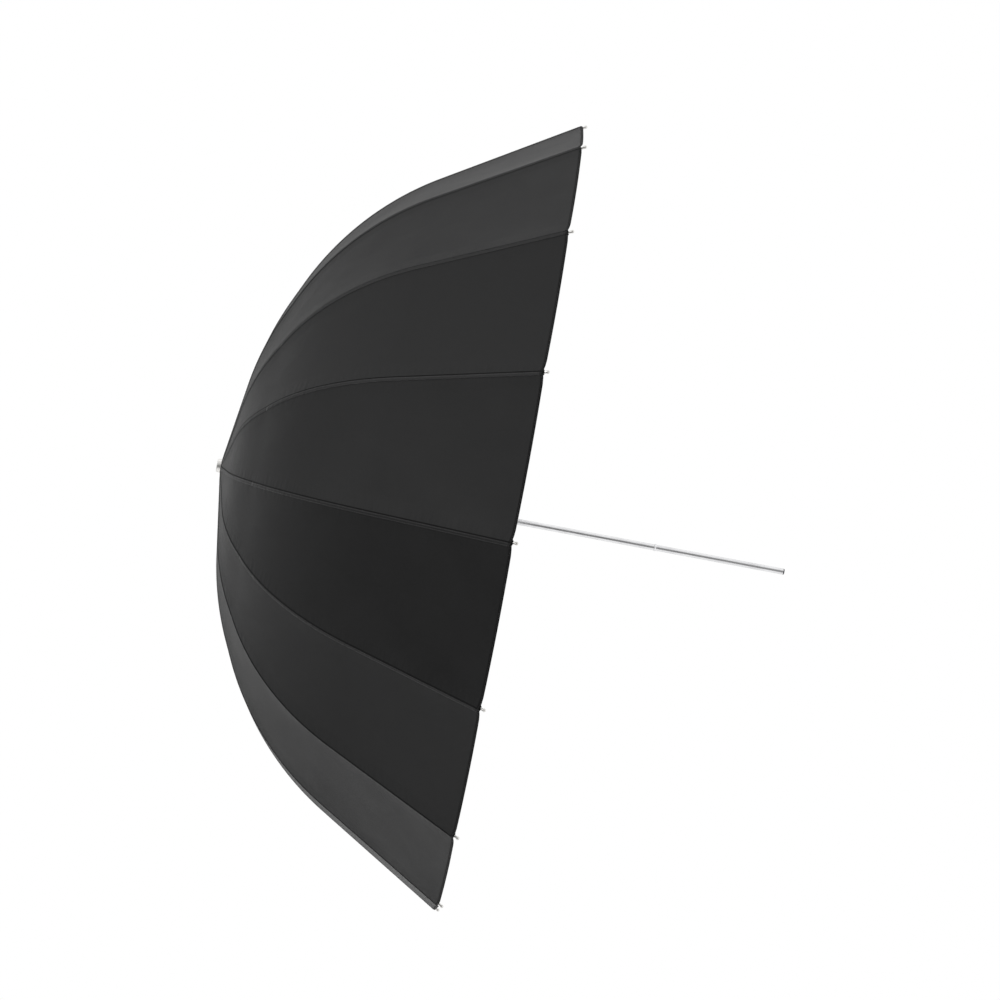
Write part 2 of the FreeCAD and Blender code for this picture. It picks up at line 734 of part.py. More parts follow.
def build():
    fill_sheet()
    nodes = round_the_shaft("rib_inner", [crown_eye(), inner_rod(), clevis()])
    nodes += round_the_shaft("rib_outer", [tongue(), outer_rod(), rib_tip()])
    nodes += round_the_shaft("stretcher", stretcher_pieces())
    nodes += [crown(), runner(), finial(), canopy_washer(), shaft_end_plug(), canopy()]
    nodes += [wire_ring("crown_wire", "crown_pivot_x"), wire_ring("runner_wire", "runner_x")]
    nodes.append(cross_pin("crown_pin", "crown_hub_radius", "crown_pivot_x + crown_pin_place"))
    nodes.append(
        cross_pin("catch_pin", "catch_pin_half", "catch_nose_x + catch_pivot", "catch_pivot_z")
    )
    nodes.append(shaft_tube())
    nodes.append(labelled(catch_leaf(), "catch_leaf"))
    write_parts(nodes)


build()
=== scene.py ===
import json
import math

import bpy
import numpy as np
from mathutils import Matrix, Vector


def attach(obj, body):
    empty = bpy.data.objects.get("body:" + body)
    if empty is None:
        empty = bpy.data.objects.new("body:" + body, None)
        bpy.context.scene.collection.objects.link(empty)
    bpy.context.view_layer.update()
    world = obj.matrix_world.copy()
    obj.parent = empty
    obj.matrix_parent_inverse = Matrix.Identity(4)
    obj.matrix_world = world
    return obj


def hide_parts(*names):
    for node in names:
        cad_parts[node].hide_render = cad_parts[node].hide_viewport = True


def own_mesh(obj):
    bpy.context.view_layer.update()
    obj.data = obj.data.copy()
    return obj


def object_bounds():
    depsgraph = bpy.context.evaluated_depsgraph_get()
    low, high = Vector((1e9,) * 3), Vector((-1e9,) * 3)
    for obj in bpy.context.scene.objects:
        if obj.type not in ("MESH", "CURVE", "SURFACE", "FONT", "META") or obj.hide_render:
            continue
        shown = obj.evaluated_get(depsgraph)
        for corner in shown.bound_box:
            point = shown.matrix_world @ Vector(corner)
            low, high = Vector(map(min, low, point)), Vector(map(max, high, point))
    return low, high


# The looks of an umbrella reflector. Lengths are in metres and angles in degrees. The cloth is
# drawn rib by rib in the frame of rib 1, which stands straight up from the shaft, and then turned
# about the shaft to its own rib.

RIBS = 16
STEP = 360 / RIBS

# the line that a rib's middle follows, the same as in the CAD model
START_SLOPE = 80.7
INNER_STRAIGHT = 0.112
INNER_BEND = 15.9
INNER_BEND_RADIUS = 0.418
JOINT_STRAIGHT = 0.013
OUTER_BEND = 33.6
OUTER_BEND_RADIUS = 0.386
OUTER_STRAIGHT = 0.206
HEM_TO_TIP = 0.0085
TIP_LENGTH = 0.02
FITTING_LENGTHS = {"crown_eye": 0.02, "clevis": 0.012, "tongue": 0.013}

JOINT_PLACE = INNER_STRAIGHT + math.radians(INNER_BEND) * INNER_BEND_RADIUS + JOINT_STRAIGHT
BEND_PLACE = JOINT_PLACE + JOINT_STRAIGHT
RIM_PLACE = BEND_PLACE + math.radians(OUTER_BEND) * OUTER_BEND_RADIUS
TIP_PLACE = RIM_PLACE + OUTER_STRAIGHT
HEM_PLACE = TIP_PLACE - HEM_TO_TIP

# the cloth
CLOTH_OFF_RIB = 0.00315
CLOTH = 0.00045
WEAVE_PITCH = 0.0007
APEX_START = -0.0096
APEX_END = 0.0016
SAG = 0.012
HEM_PAST_RIB = 0.0014
HEM_BETWEEN = 0.0022
HEM_DRAWN_OVER = 0.035
HEM_WIDTH = 0.0034
HEM_RAISED = 0.0003
APEX_ROWS = 8
APEX_COLUMNS = 6
ROWS_INNER = 40
ROWS_OUTER = 56
COLUMNS = 14

# the seam: a groove over the rib, drawn darker as painted shade, and beside it the seam's allowance,
# stitched down in two rows and drawn lighter as painted light on its raised band
SEAM_START, SEAM_END = -0.0009, 0.0054
SEAM_GROOVE = 0.00075
STITCH_LINES = (0.0015, 0.0045)
STITCH_PITCH = 0.0028
STITCH_LENGTH = 0.0021
STITCH_HALF = 0.0002
STITCH_HEIGHT = 0.00018
STITCH_ABOVE_SEAM = 0.00058
STITCH_FROM_END = 0.002
HEM_STITCH_ROW = -4

# the sewn pocket under the hem that holds a rib's tip
POCKET_LENGTH = 0.016
POCKET_WALL = 0.0005
POCKET_NARROWER = 0.84
POCKET_ROWS = 9

# how far sewn-down cloth ends past the hem's place or before it
POCKET_PAST_HEM = 0.0004
SEAM_BEFORE_HEM = 0.0004

# the material slots of a canopy panel, of a seam (its groove drawn darker as painted shade) and of a rib
OUTSIDE, INSIDE, SEWING, BINDING = range(4)
ALLOWANCE, GROOVE_SHADE = range(2)
FITTING, FIBRE = range(2)

# a piece that is sewn down all over counts as this near to a seam
AT_SEAM = 0.004

# the studio
FRONT_LIGHT = 0.15
BACK_LIGHT = 0.8
INSIDE_LIGHT = 1.3
SKY_LIGHT = 1.15
SKY_WIDTH = 95.0
SKY_FROM = (-0.25, -0.2, 1.0)
FLOOR_DROP = 0.9
FLOOR_REACH = 2.8
FLOOR_FADE = 1.3
KEY_FROM = (-2.9, -1.5, 0.9)
KEY_SIZE = 1.6
KEY_POWER = 35

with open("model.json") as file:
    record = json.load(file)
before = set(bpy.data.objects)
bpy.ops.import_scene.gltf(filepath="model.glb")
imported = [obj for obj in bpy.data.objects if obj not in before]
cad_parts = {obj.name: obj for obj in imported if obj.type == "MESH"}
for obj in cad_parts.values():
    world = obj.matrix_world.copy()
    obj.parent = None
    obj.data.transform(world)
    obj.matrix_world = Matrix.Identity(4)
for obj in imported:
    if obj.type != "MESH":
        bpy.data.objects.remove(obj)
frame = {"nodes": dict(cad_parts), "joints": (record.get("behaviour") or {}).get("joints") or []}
cad_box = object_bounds()
PIVOT = next(Vector(j["pos_m"]) for j in frame["joints"] if j["name"] == "fold")


# ---------------------------------------------------------------- shapes of the canopy


def rib_line(place, offset):
    """x, distance from the shaft and slope of the line beside a rib, at distances along its middle."""
    place = np.asarray(place, float)
    slope = np.full(place.shape, START_SLOPE)
    along = np.minimum(place, INNER_STRAIGHT)
    x = PIVOT.x + along * math.cos(math.radians(START_SLOPE))
    r = PIVOT.z + along * math.sin(math.radians(START_SLOPE))
    start, start_slope = INNER_STRAIGHT, START_SLOPE
    bends = ((INNER_BEND, INNER_BEND_RADIUS, 2 * JOINT_STRAIGHT), (OUTER_BEND, OUTER_BEND_RADIUS, 1.0))
    for bend, radius, straight in bends:
        turned = np.clip(np.degrees((place - start) / radius), 0, bend)
        low, high = np.radians(start_slope), np.radians(start_slope - turned)
        x += radius * (np.sin(low) - np.sin(high))
        r += radius * (np.cos(high) - np.cos(low))
        start += math.radians(bend) * radius
        start_slope -= bend
        along = np.clip(place - start, 0, straight)
        x += along * math.cos(math.radians(start_slope))
        r += along * math.sin(math.radians(start_slope))
        slope = slope - turned
        start += straight
    x -= offset * np.sin(np.radians(slope))
    r += offset * np.cos(np.radians(slope))
    return x, r, slope


def surface(place, across, side, offset=CLOTH_OFF_RIB):
    """Points of the cloth's middle, from rib 1 (across 0) towards the next rib (across 1)."""
    x, r, slope = rib_line(place, offset)
    step = math.radians(STEP)
    chord = 2 * r * math.sin(step / 2)
    middle = np.stack([0 * x, 0 * x - side * math.sin(step / 2), 0 * x + math.cos(step / 2)], -1)
    outward = middle * np.cos(np.radians(slope))[..., None]
    outward[..., 0] -= np.sin(np.radians(slope))
    point = np.stack([x, -side * r * math.sin(step) * across, r + r * (math.cos(step) - 1) * across], -1)
    sag = SAG * chord * 4 * across * (1 - across)
    return point - sag[..., None] * outward


def cloth_frame(place, across, side):
    """Points of the cloth's middle, and the outward direction square to it."""
    small = 1e-5
    point = surface(place, across, side)
    along = surface(place + small, across, side) - surface(place - small, across, side)
    over = surface(place, across + small, side) - surface(place, across - small, side)
    normal = -side * np.cross(along, over)
    return point, normal / np.linalg.norm(normal, axis=-1, keepdims=True)


def hem_end(across):
    """Where the cloth ends: straight between the ribs, and drawn back a little at each tip."""
    return HEM_PLACE + HEM_PAST_RIB + HEM_BETWEEN * (1 - np.exp(-((across / HEM_DRAWN_OVER) ** 2)))


class Build:
    """Collects the points, faces and attributes of one mesh."""

    def __init__(self):
        self.points, self.faces, self.slots, self.weave, self.seam = [], [], [], [], []
        self.count = 0

    def add(self, points, faces, slot, weave, seam=None):
        """Adds points and faces, with the place of each point in the weave and how near a seam is."""
        points = np.asarray(points, float).reshape(-1, 3)
        self.points.append(points)
        self.faces += [[int(i) + self.count for i in face] for face in faces]
        self.slots += [slot] * len(faces) if isinstance(slot, int) else list(slot)
        self.weave.append(np.asarray(weave, float).reshape(-1, 3))
        self.seam.append(np.full(len(points), 1.0) if seam is None else np.asarray(seam, float).ravel())
        self.count += len(points)

    def piece(self, name, turn, materials, normals=None):
        """The finished object, turned about the shaft."""
        mesh = bpy.data.meshes.new(name)
        spin = np.array(Matrix.Rotation(math.radians(turn), 3, "X"))
        points = np.concatenate(self.points) @ spin.T
        mesh.from_pydata(points.tolist(), [], self.faces)
        for made in materials:
            mesh.materials.append(made)
        mesh.polygons.foreach_set("material_index", self.slots)
        mesh.polygons.foreach_set("use_smooth", [True] * len(self.faces))
        weave = mesh.attributes.new("weave", "FLOAT_VECTOR", "POINT")
        weave.data.foreach_set("vector", np.concatenate(self.weave).astype(np.float32).ravel())
        seam = mesh.attributes.new("seam", "FLOAT", "POINT")
        seam.data.foreach_set("value", np.concatenate(self.seam).astype(np.float32))
        mesh.validate()
        if normals is not None:
            given = np.concatenate(normals) @ spin.T
            index = np.zeros(len(mesh.loops), np.int32)
            mesh.loops.foreach_get("vertex_index", index)
            mesh.normals_split_custom_set(given[index].tolist())
        obj = bpy.data.objects.new(name, mesh)
        bpy.context.scene.collection.objects.link(obj)
        return obj


def grid_faces(rows, columns, first, flip):
    """The faces of a grid of points, turned over if flip is set."""
    faces = []
    for i in range(rows - 1):
        for j in range(columns - 1):
            a = first + i * columns + j
            quad = [a, a + 1, a + columns + 1, a + columns]
            faces.append(quad[::-1] if flip else quad)
    return faces


def ring_faces(rows, count):
    """The faces between rows of points, where each row is a closed ring."""
    faces = []
    for i in range(rows - 1):
        for j in range(count):
            k = (j + 1) % count
            faces.append([i * count + j, i * count + k, (i + 1) * count + k, (i + 1) * count + j])
    return faces


def edge_loop(rows, columns):
    """The indices of a grid's border, in order."""
    top = [(0, j) for j in range(columns)]
    right = [(i, columns - 1) for i in range(1, rows)]
    bottom = [(rows - 1, j) for j in range(columns - 2, -1, -1)]
    left = [(i, 0) for i in range(rows - 2, 0, -1)]
    return [i * columns + j for i, j in top + right + bottom + left]


def stitch(build, centre, along, up):
    """One short thread, pointed at both ends, that stands a little proud of the cloth."""
    over = np.cross(up, along)
    ends = [centre - along * STITCH_LENGTH / 2, centre + along * STITCH_LENGTH / 2]
    ring = [centre + over * STITCH_HALF, centre + up * STITCH_HEIGHT]
    ring += [centre - over * STITCH_HALF, centre - up * STITCH_HEIGHT]
    faces = []
    for k in range(4):
        a, b = 2 + k, 2 + (k + 1) % 4
        faces += [[0, b, a], [1, a, b]]
    build.add(ends + ring, faces, SEWING, np.zeros((6, 3)))


def stitch_row(build, points, normals, skip=0.0):
    """Stitches at an even pitch along a line of points."""
    steps = np.linalg.norm(np.diff(points, axis=0), axis=1)
    reach = np.concatenate([[0], np.cumsum(steps)])
    count = max(1, int((reach[-1] - 2 * skip) / STITCH_PITCH))
    for k in range(count):
        at = skip + (k + 0.5) * (reach[-1] - 2 * skip) / count
        centre = np.array([np.interp(at, reach, points[:, c]) for c in range(3)])
        ahead = np.array([np.interp(at + 1e-4, reach, points[:, c]) for c in range(3)])
        up = np.array([np.interp(at, reach, normals[:, c]) for c in range(3)])
        along = ahead - centre
        if np.linalg.norm(along) < 1e-9:
            continue
        along = along / np.linalg.norm(along)
        up = up - along * (up @ along)
        stitch(build, centre, along, up / np.linalg.norm(up))


# ---------------------------------------------------------------- materials


def principled(name, color, roughness, **sockets):
    """A new material, with its nodes, its links and its shader node."""
    made = bpy.data.materials.new(name)
    made.use_nodes = True
    shader = made.node_tree.nodes["Principled BSDF"]
    shader.inputs["Base Color"].default_value = (*color, 1)
    shader.inputs["Roughness"].default_value = roughness
    for socket, value in sockets.items():
        shader.inputs[socket.replace("_", " ")].default_value = value
    return made, made.node_tree.nodes, made.node_tree.links, shader


def node(nodes, links, kind, inputs=None, **settings):
    """A shader node with its settings, and its inputs as numbers or as another node's output."""
    made = nodes.new("ShaderNode" + kind)
    for name, value in settings.items():
        setattr(made, name, value)
    for name, value in (inputs or {}).items():
        if isinstance(value, bpy.types.NodeSocket):
            links.new(value, made.inputs[name])
        else:
            made.inputs[name].default_value = value
    return made


def ramp(nodes, links, source, low, high, start=0.0, end=1.0):
    """A smooth change from one number to another as the source goes from start to end."""
    inputs = {"Value": source, "From Min": start, "From Max": end, "To Min": low, "To Max": high}
    return node(nodes, links, "MapRange", inputs).outputs["Result"]


def mixed(nodes, links, share, first, second):
    """A colour between two colours."""
    made = node(nodes, links, "MixRGB", {"Fac": share})
    made.inputs["Color1"].default_value = (*first, 1)
    made.inputs["Color2"].default_value = (*second, 1)
    return made.outputs["Color"]


def noise(nodes, links, where, scale, detail=3.0):
    """Soft random patches, from 0 to 1."""
    inputs = {"Vector": where, "Scale": scale, "Detail": detail}
    return node(nodes, links, "TexNoise", inputs).outputs["Fac"]


def weave_height(nodes, links, where, pitch):
    """The crossing threads of a plain weave."""
    scale = 2 * math.pi / (20 * pitch)
    threads = []
    for direction in ("X", "Y"):
        inputs = {"Vector": where, "Scale": scale}
        wave = node(nodes, links, "TexWave", inputs, bands_direction=direction)
        threads.append(wave.outputs["Fac"])
    return node(nodes, links, "Math", {0: threads[0], 1: threads[1]}, operation="MULTIPLY").outputs[0]


def cloth_material(name, dark, light, roughness, weave_bump, pucker_bump, **sockets):
    """Woven polyester: fine threads, faint slubs, and puckers where it is gathered into a seam."""
    made, nodes, links, shader = principled(name, dark, roughness, **sockets)
    where = node(nodes, links, "Attribute", attribute_name="weave").outputs["Vector"]
    near = node(nodes, links, "Attribute", attribute_name="seam").outputs["Fac"]
    threads = weave_height(nodes, links, where, WEAVE_PITCH)
    cloudy = noise(nodes, links, where, 14.0)
    slubs = noise(nodes, links, where, 420.0, 2.0)
    shade = node(nodes, links, "Math", {0: cloudy, 1: slubs}, operation="ADD").outputs[0]
    share = ramp(nodes, links, shade, 0.0, 1.0, 0.7, 1.3)
    links.new(mixed(nodes, links, share, dark, light), shader.inputs["Base Color"])
    rough = ramp(nodes, links, shade, roughness - 0.05, roughness + 0.06, 0.7, 1.3)
    links.new(rough, shader.inputs["Roughness"])
    stretched = node(nodes, links, "Mapping", {"Vector": where, "Scale": (30.0, 150.0, 1.0)})
    puckers = noise(nodes, links, stretched.outputs["Vector"], 1.0, 2.0)
    hold = ramp(nodes, links, near, 1.0, 0.0, 0.0, 0.02)
    pucker = node(nodes, links, "Math", {0: puckers, 1: hold}, operation="MULTIPLY").outputs[0]
    slow = noise(nodes, links, where, 9.0, 1.0)
    bump = node(nodes, links, "Bump", {"Height": slow, "Strength": 0.25, "Distance": 0.004})
    for height, strength, distance in ((pucker, pucker_bump, 0.002), (threads, weave_bump, 0.0002)):
        inputs = {"Height": height, "Strength": strength, "Distance": distance}
        inputs["Normal"] = bump.outputs["Normal"]
        bump = node(nodes, links, "Bump", inputs)
    links.new(bump.outputs["Normal"], shader.inputs["Normal"])
    return made


def thread_material():
    """Dark sewing thread with a twist."""
    made, nodes, links, shader = principled("sewing_thread", (0.02, 0.02, 0.021), 0.5, Sheen_Weight=0.3)
    where = node(nodes, links, "TexCoord").outputs["Object"]
    twist = node(nodes, links, "TexWave", {"Vector": where, "Scale": 900.0, "Distortion": 1.0})
    tone = mixed(nodes, links, twist.outputs["Fac"], (0.014, 0.014, 0.015), (0.05, 0.05, 0.052))
    links.new(tone, shader.inputs["Base Color"])
    inputs = {"Height": twist.outputs["Fac"], "Strength": 0.4, "Distance": 0.0001}
    bump = node(nodes, links, "Bump", inputs)
    links.new(bump.outputs["Normal"], shader.inputs["Normal"])
    return made


def metal_material(name, color, worn, roughness, grain, bump_strength, **sockets):
    """Plated metal: handled patches, fine scratches and a slight grain."""
    made, nodes, links, shader = principled(name, color, roughness, Metallic=1.0, **sockets)
    where = node(nodes, links, "TexCoord").outputs["Object"]
    patches = noise(nodes, links, where, 35.0, 4.0)
    fine = noise(nodes, links, where, grain, 3.0)
    drawn = node(nodes, links, "Mapping", {"Vector": where, "Scale": (25.0, 2600.0, 2600.0)})
    scratches = noise(nodes, links, drawn.outputs["Vector"], 1.0, 2.0)
    share = ramp(nodes, links, patches, 0.0, 1.0, 0.35, 0.75)
    links.new(mixed(nodes, links, share, color, worn), shader.inputs["Base Color"])
    both = node(nodes, links, "Math", {0: patches, 1: scratches}, operation="ADD").outputs[0]
    rough = ramp(nodes, links, both, roughness * 0.7, roughness * 1.6, 0.7, 1.3)
    links.new(rough, shader.inputs["Roughness"])
    inputs = {"Height": scratches, "Strength": bump_strength, "Distance": 0.00005}
    bump = node(nodes, links, "Bump", inputs)
    inputs = {"Height": fine, "Strength": bump_strength, "Distance": 0.00004}
    inputs["Normal"] = bump.outputs["Normal"]
    bump = node(nodes, links, "Bump", inputs)
    links.new(bump.outputs["Normal"], shader.inputs["Normal"])
    return made


def moulding_material(name, color, light, roughness, grain):
    """Black moulded plastic with a fine spark-eroded texture and rubbed patches."""
    made, nodes, links, shader = principled(name, color, roughness)
    where = node(nodes, links, "TexCoord").outputs["Object"]
    texture = noise(nodes, links, where, grain, 3.0)
    rubbed = noise(nodes, links, where, 60.0, 4.0)
    links.new(mixed(nodes, links, ramp(nodes, links, rubbed, 0.0, 1.0, 0.45, 0.8), color, light),
              shader.inputs["Base Color"])
    links.new(ramp(nodes, links, rubbed, roughness + 0.06, roughness - 0.1), shader.inputs["Roughness"])
    bump = node(nodes, links, "Bump", {"Height": texture, "Strength": 0.35, "Distance": 0.00012})
    links.new(bump.outputs["Normal"], shader.inputs["Normal"])
    return made


def rod_material():
    """Black pultruded fibreglass: long fibres under a glossy resin skin."""
    sockets = {"Coat_Weight": 0.5, "Coat_Roughness": 0.15}
    made, nodes, links, shader = principled("fibreglass_rod", (0.018, 0.018, 0.02), 0.34, **sockets)
    where = node(nodes, links, "TexCoord").outputs["Object"]
    fibres = noise(nodes, links, where, 700.0, 2.0)
    cloudy = noise(nodes, links, where, 30.0, 2.0)
    links.new(mixed(nodes, links, fibres, (0.012, 0.012, 0.014), (0.035, 0.035, 0.038)),
              shader.inputs["Base Color"])
    links.new(ramp(nodes, links, cloudy, 0.26, 0.44), shader.inputs["Roughness"])
    bump = node(nodes, links, "Bump", {"Height": fibres, "Strength": 0.25, "Distance": 0.00005})
    links.new(bump.outputs["Normal"], shader.inputs["Normal"])
    return made


BLACK_CLOTH = cloth_material(
    "cloth_outside", (0.0035, 0.0035, 0.0037), (0.0085, 0.0085, 0.0088), 0.58, 0.35, 0.5,
    Sheen_Weight=0.1, Sheen_Roughness=0.25, Specular_IOR_Level=0.25,
)
# cloth of the seam's allowance, coloured lighter than the canopy's: painted light on the raised band
FELLED_CLOTH_PAINTED_LIGHTER = cloth_material(
    "cloth_seam_painted_lighter", (0.0065, 0.0065, 0.0068), (0.0125, 0.0125, 0.0128), 0.56, 0.35, 0.5,
    Sheen_Weight=0.12, Sheen_Roughness=0.25, Specular_IOR_Level=0.3,
)
# cloth of the hem's binding and the tip pockets; on the seams it also colours the groove darker as
# painted shade
HEM_CLOTH_AND_GROOVE_SHADE = cloth_material(
    "cloth_binding_and_groove_shade", (0.0022, 0.0022, 0.0023), (0.0045, 0.0045, 0.0047), 0.7, 0.5, 0.3,
    Specular_IOR_Level=0.15,
)
WHITE_CLOTH = cloth_material(
    "cloth_inside", (0.78, 0.785, 0.79), (0.84, 0.84, 0.84), 0.55, 0.3, 0.5,
    Sheen_Weight=0.15, Sheen_Roughness=0.4,
)
THREAD = thread_material()
CHROME = metal_material("chrome_tube", (0.80, 0.80, 0.81), (0.66, 0.66, 0.67), 0.17, 900.0, 0.12)
NICKEL = metal_material("nickel_plate", (0.70, 0.69, 0.67), (0.50, 0.49, 0.47), 0.22, 1400.0, 0.25)
SATIN = metal_material("satin_cap", (0.92, 0.91, 0.89), (0.80, 0.79, 0.77), 0.36, 1800.0, 0.25)
SPRING = metal_material("spring_steel", (0.42, 0.43, 0.46), (0.30, 0.30, 0.31), 0.3, 1100.0, 0.3)
MOULDING = moulding_material("black_moulding", (0.012, 0.012, 0.013), (0.03, 0.03, 0.032), 0.48, 2600.0)
WASHER = moulding_material("black_washer", (0.008, 0.008, 0.009), (0.02, 0.02, 0.021), 0.55, 1500.0)
ROD = rod_material()


# ---------------------------------------------------------------- canopy pieces


def closed_sheet(build, point, normal, thick, flip, slots, weave, seam):
    """A thin closed shell about a grid of points. Returns its outer and inner faces' points."""
    outer, inner = point + thick * normal, point - thick * normal
    rows, columns = point.shape[:2]
    count = rows * columns
    faces = grid_faces(rows, columns, 0, not flip) + grid_faces(rows, columns, count, flip)
    border = edge_loop(rows, columns)
    for a, b in zip(border, border[1:] + border[:1]):
        wall = [a, b, b + count, a + count]
        faces.append(wall if flip else wall[::-1])
    points = np.concatenate([outer.reshape(-1, 3), inner.reshape(-1, 3)])
    doubled = np.concatenate([weave.reshape(-1, 3)] * 2)
    build.add(points, faces, slots + [BINDING] * len(border), doubled, np.tile(seam.ravel(), 2))
    return outer, inner


def cloth_places(part, across):
    """The rows of the cloth's grid along the rib, and how far each row is raised by the hem."""
    if part == "inner":
        shares = np.linspace(0, 1, ROWS_INNER)[:, None]
        return APEX_END + shares * (JOINT_PLACE - APEX_END) + 0 * across, np.zeros(ROWS_INNER)
    back = np.array([2.6, 1.06, 1.0, 0.93, 0.5, 0.14, 0.04, 0.0])[:, None] * HEM_WIDTH
    shares = np.linspace(0, 1, ROWS_OUTER, endpoint=False)[:, None]
    main = JOINT_PLACE + shares * (hem_end(across) - back[0] - JOINT_PLACE)
    raised = np.concatenate([np.zeros(ROWS_OUTER + 2), [1, 1, 1, 1, 0.8, 0.35]])
    return np.concatenate([main, hem_end(across) - back]), raised


def rib_cloth(number, part):
    """The cloth on both sides of one rib as far as the middles of its gores: from the crown to the
    joint, or from the joint to the hem."""
    columns = np.linspace(0, 0.5, COLUMNS)
    place, raised = cloth_places(part, columns)
    across = np.broadcast_to(columns, place.shape)
    thick = CLOTH / 2 + HEM_RAISED * raised[:, None, None]
    chord = 2 * rib_line(place, CLOTH_OFF_RIB)[1] * math.sin(math.radians(STEP / 2))
    slots = []
    for sheet_slot in (OUTSIDE, INSIDE):
        for row in range(len(place) - 1):
            in_hem = part == "outer" and row >= ROWS_OUTER + 1
            slots += [BINDING if in_hem else sheet_slot] * (COLUMNS - 1)
    build, normals, area = Build(), [], 0.0
    for side in (-1, 1):
        point, normal = cloth_frame(place, across, side)
        weave = np.stack([across * chord * side, place, 0 * place], -1)
        faces = closed_sheet(build, point, normal, thick, side > 0, slots, weave, across * chord)
        normals += [normal.reshape(-1, 3), -normal.reshape(-1, 3)]
        for face, sign in zip(faces, (1, -1)):
            if part == "outer":
                before = build.count
                stitch_row(build, face[HEM_STITCH_ROW], sign * normal[HEM_STITCH_ROW])
                normals.append(stitch_normals(build, before))
        down, over = point[1:, :-1] - point[:-1, :-1], point[:-1, 1:] - point[:-1, :-1]
        area += float(np.linalg.norm(np.cross(down, over), axis=-1).sum())
    materials = [BLACK_CLOTH, WHITE_CLOTH, THREAD, HEM_CLOTH_AND_GROOVE_SHADE]
    obj = build.piece(f"cloth_{part}_{number + 1:02d}", number * STEP, materials, normals)
    rib = f"rib_{part}_{number + 1:02d}"
    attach(obj, rib)
    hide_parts("canopy")
    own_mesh(obj)


def stitch_normals(build, before):
    """Normals of the stitches added since: away from each stitch's own middle."""
    added = np.concatenate(build.points)[before:].reshape(-1, 6, 3)
    away = added - added.mean(axis=1, keepdims=True)
    away /= np.linalg.norm(away, axis=-1, keepdims=True)
    return away.reshape(-1, 3)


def over_cloth(place, over, height):
    """Points this far over from the rib and this high above the cloth, and the way up there. Where
    the gores are narrow they come no further than 0.4 of the way to the next rib."""
    chord = 2 * rib_line(place, CLOTH_OFF_RIB)[1] * math.sin(math.radians(STEP / 2))
    share = np.minimum(abs(over) / chord, 0.4)
    point, normal = cloth_frame(place, share, 1 if over >= 0 else -1)
    if over == 0:
        normal = normal + cloth_frame(place, share, -1)[1]
        normal = normal / np.linalg.norm(normal, axis=-1, keepdims=True)
    return point + (CLOTH / 2 + height) * normal, normal


def seam_strip(number, part):
    """The felled seam over one rib: a groove over the rib, drawn darker as painted shade, and the
    stitched allowance beside it, drawn lighter as painted light. Its profile says how far over from the
    rib and how high above the cloth each point is."""
    start, end, rows = APEX_END, JOINT_PLACE, 2 * ROWS_INNER
    if part == "outer":
        start, end, rows = JOINT_PLACE, HEM_PLACE - SEAM_BEFORE_HEM, 2 * ROWS_OUTER
    place = np.linspace(start, end, rows)
    # the groove, drawn in the darker cloth: painted shade in the fold over the rib
    dark = [(SEAM_START, 0.00002), (-0.0007, 0.0002), (-0.0003, 0.00025)]
    dark += [(0.0, 0.00006), (0.0004, 0.00006)]
    # the allowance, drawn in the lighter cloth: painted light on its raised band
    band = [(SEAM_GROOVE, 0.0004), (0.0011, 0.00052), (0.003, 0.00056), (0.0048, 0.00052)]
    band += [(0.0053, 0.0003), (SEAM_END, 0.00002)]
    under = [(0.005, -0.0003), (0.0, -0.0003), (-0.0007, -0.0003)]
    profile = dark + band + under
    ring = np.stack([over_cloth(place, over, height)[0] for over, height in profile], 1)
    weave = np.stack([np.stack([0 * place + over, place, 0 * place], -1) for over, _ in profile], 1)
    count = len(profile)
    faces = ring_faces(rows, count)
    slots = ([GROOVE_SHADE] * len(dark) + [ALLOWANCE] * (count - len(dark))) * (rows - 1)
    faces.append(list(range(count))[::-1])
    faces.append([(rows - 1) * count + j for j in range(count)])
    build = Build()
    build.add(ring, faces, slots + [ALLOWANCE] * 2, weave, np.full(rows * count, AT_SEAM))
    for over in STITCH_LINES:
        line, normal = over_cloth(place, over, STITCH_ABOVE_SEAM)
        stitch_row(build, line, normal, skip=STITCH_FROM_END)
    name, rib = f"seam_{part}_{number + 1:02d}", f"rib_{part}_{number + 1:02d}"
    obj = build.piece(name, number * STEP, [FELLED_CLOTH_PAINTED_LIGHTER, HEM_CLOTH_AND_GROOVE_SHADE, THREAD])
    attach(obj, rib)


def tip_pocket(number):
    """The sewn pocket under the hem that holds a rib's tip."""
    start, end = HEM_PLACE - POCKET_LENGTH, HEM_PLACE + POCKET_PAST_HEM
    place = np.linspace(start, end, POCKET_ROWS)
    outside = [(-0.0052, 0.0009), (-0.0044, 0.0001), (-0.0033, -0.0015), (-0.0018, -0.0027)]
    outside += [(0.0, -0.0031)] + [(-w, h) for w, h in outside[::-1]]
    inside = [(w * POCKET_NARROWER, h + POCKET_WALL) for w, h in outside]
    profile = outside + inside[::-1]
    x, r, slope = rib_line(place, 0.0)
    out = np.stack([-np.sin(np.radians(slope)), 0 * x, np.cos(np.radians(slope))], -1)
    over = np.array([0.0, 1.0, 0.0])
    middle = np.stack([x, 0 * x, r], -1)
    widen = np.linspace(1.12, 0.94, POCKET_ROWS)[:, None]
    ring = np.stack([middle + w * widen * over + h * out for w, h in profile], 1)
    weave = np.stack([np.stack([place, 0 * place + w, 0 * place], -1) for w, _ in profile], 1)
    count = len(profile)
    faces = ring_faces(POCKET_ROWS, count)
    half = count // 2
    for first in (0, (POCKET_ROWS - 1) * count):
        for j in range(half - 1):
            quad = [first + j, first + j + 1, first + count - 2 - j, first + count - 1 - j]
            faces.append(quad if first else quad[::-1])
    build = Build()
    build.add(ring, faces, 0, weave, np.full(POCKET_ROWS * count, AT_SEAM))
    obj = build.piece(f"tip_pocket_{number + 1:02d}", number * STEP, [HEM_CLOTH_AND_GROOVE_SHADE])
    rib = f"rib_outer_{number + 1:02d}"
    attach(obj, rib)


